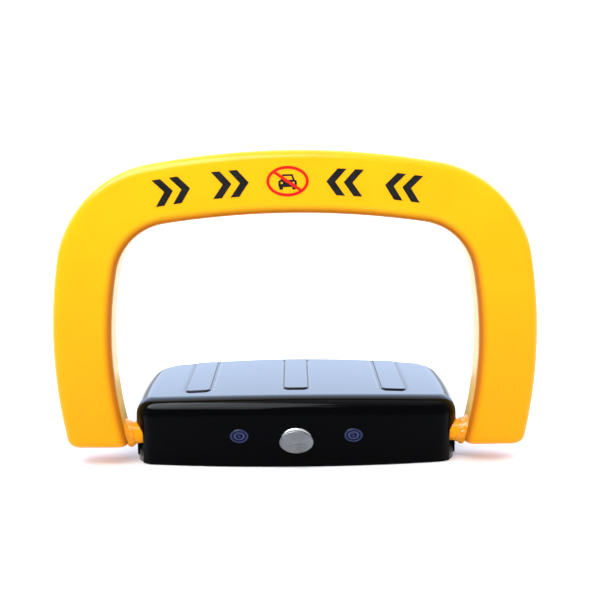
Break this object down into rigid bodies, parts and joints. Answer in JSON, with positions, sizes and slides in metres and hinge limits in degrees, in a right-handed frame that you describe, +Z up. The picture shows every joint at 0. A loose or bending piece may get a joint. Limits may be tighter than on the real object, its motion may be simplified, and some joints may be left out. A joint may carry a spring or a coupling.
{
  "type": "folding parking lock",
  "caption": "Motor-driven folding parking barrier: a hollow D-shaped arm on two stub shafts swings up from a low domed steel housing that bolts to the ground.",
  "frame": {"origin": "middle of the base plate's underside, on the ground", "axes": "+X to the right along the shafts, +Y away from the front with the lock, +Z up; the arm is raised at rest"},
  "size_m": [0.54, 0.1967, 0.3496],
  "materials": {
    "arm_yellow": "gloss enamel over steel tube",
    "weld_yellow": "gloss enamel over a rough weld",
    "cover_black": "high gloss black enamel",
    "zinc_steel": "zinc plated",
    "dark_steel": "black oxide",
    "lock_chrome": "worn satin chrome",
    "bronze": "sintered bronze",
    "motor_silver": "plated can",
    "black_rubber": "matt",
    "black_plastic": "fine spark texture",
    "grey_plastic": "fine spark texture",
    "cell_wrap": "printed sleeve with no mark",
    "board_green": "solder mask",
    "relay_blue": "moulded",
    "sensor_blue": "dark blue, glossy",
    "lens_blue": "dark blue, glossy",
    "print_black": "satin film",
    "print_red": "satin film",
    "lead_black": "smooth",
    "magnet_nickel": "nickel plated"
  },
  "bodies": {
    "base": {"base_plate": "zinc_steel", "base_seal": "black_rubber", "outer_bracket_left": "zinc_steel", "outer_bracket_right": "zinc_steel", "inner_bracket_left": "zinc_steel", "motor_bracket": "zinc_steel", "bracket_bolts": "zinc_steel", "motor_screws": "dark_steel", "shaft_bushes": "bronze", "gearbox_case": "zinc_steel", "motor_can": "motor_silver", "motor_end_cap": "black_plastic", "motor_lead": "lead_black", "battery_box": "black_plastic", "battery_lid": "black_plastic", "battery_cells": "cell_wrap", "battery_lead": "lead_black", "control_box": "grey_plastic", "control_lid": "grey_plastic", "control_board": "board_green", "relays": "relay_blue", "capacitors": "black_plastic", "terminal_block": "board_green", "buzzer": "black_plastic", "aerial": "lead_black", "lock_keeper": "zinc_steel", "position_board": "board_green", "position_switches": "black_plastic"},
    "drive_gear": {"drive_wheel": "dark_steel", "spring_post": "zinc_steel", "bump_spring": "dark_steel"},
    "swing_arm": {"arm_tube": "arm_yellow", "arm_end_caps": "arm_yellow", "weld_beads": "weld_yellow", "drive_shaft": "arm_yellow", "idle_shaft": "arm_yellow", "circlips": "dark_steel", "drive_collar": "dark_steel", "drive_pegs": "zinc_steel", "collar_pins": "zinc_steel", "magnet_collar": "dark_steel", "position_magnet": "magnet_nickel", "black_markings": "print_black", "no_parking_ring": "print_red"},
    "motor_output": {"output_shaft": "zinc_steel", "drive_pinion": "dark_steel"},
    "cover": {"cover_shell": "cover_black", "lock_body": "lock_chrome", "lock_nut": "zinc_steel", "shutter_rivet": "lock_chrome", "sensor_body_left": "sensor_blue", "sensor_body_right": "sensor_blue", "sensor_lens_left": "lens_blue", "sensor_lens_right": "lens_blue", "sensor_nuts": "black_plastic"},
    "lock_core": {"lock_plug": "lock_chrome", "lock_cam": "zinc_steel", "cam_screw": "zinc_steel"},
    "shutter": {"lock_shutter": "lock_chrome"}
  },
  "joints": [
    {"name": "arm_fold", "type": "hinge", "parent": "base", "child": "drive_gear", "pos_m": [0.1164, -0.0655, 0.0325], "axis": [-1, 0, 0], "range_deg": [0, 85]},
    {"name": "bump_yield", "type": "hinge", "parent": "drive_gear", "child": "swing_arm", "pos_m": [0, -0.0655, 0.0325], "axis": [1, 0, 0], "range_deg": [-20, 20], "stiffness_Nm_per_rad": 60, "deforming": ["bump_spring"]},
    {"name": "pinion_spin", "type": "hinge", "parent": "base", "child": "motor_output", "pos_m": [0.1164, -0.02613, 0.0325], "axis": [-1, 0, 0], "range_deg": [-170, 0]},
    {"name": "cover_lift", "type": "slide", "parent": "base", "child": "cover", "axis": [0, 0, 1], "range_m": [0, 0.1]},
    {"name": "lock_turn", "type": "hinge", "parent": "cover", "child": "lock_core", "pos_m": [0, -0.08, 0.0335], "axis": [0, -1, 0], "range_deg": [0, 90]},
    {"name": "shutter_swing", "type": "hinge", "parent": "cover", "child": "shutter", "pos_m": [0, -0.0995, 0.0412], "axis": [0, -1, 0], "range_deg": [-120, 120]}
  ],
  "couplings": [
    {"joint": "pinion_spin", "follows": "arm_fold", "ratio": -2}
  ]
}
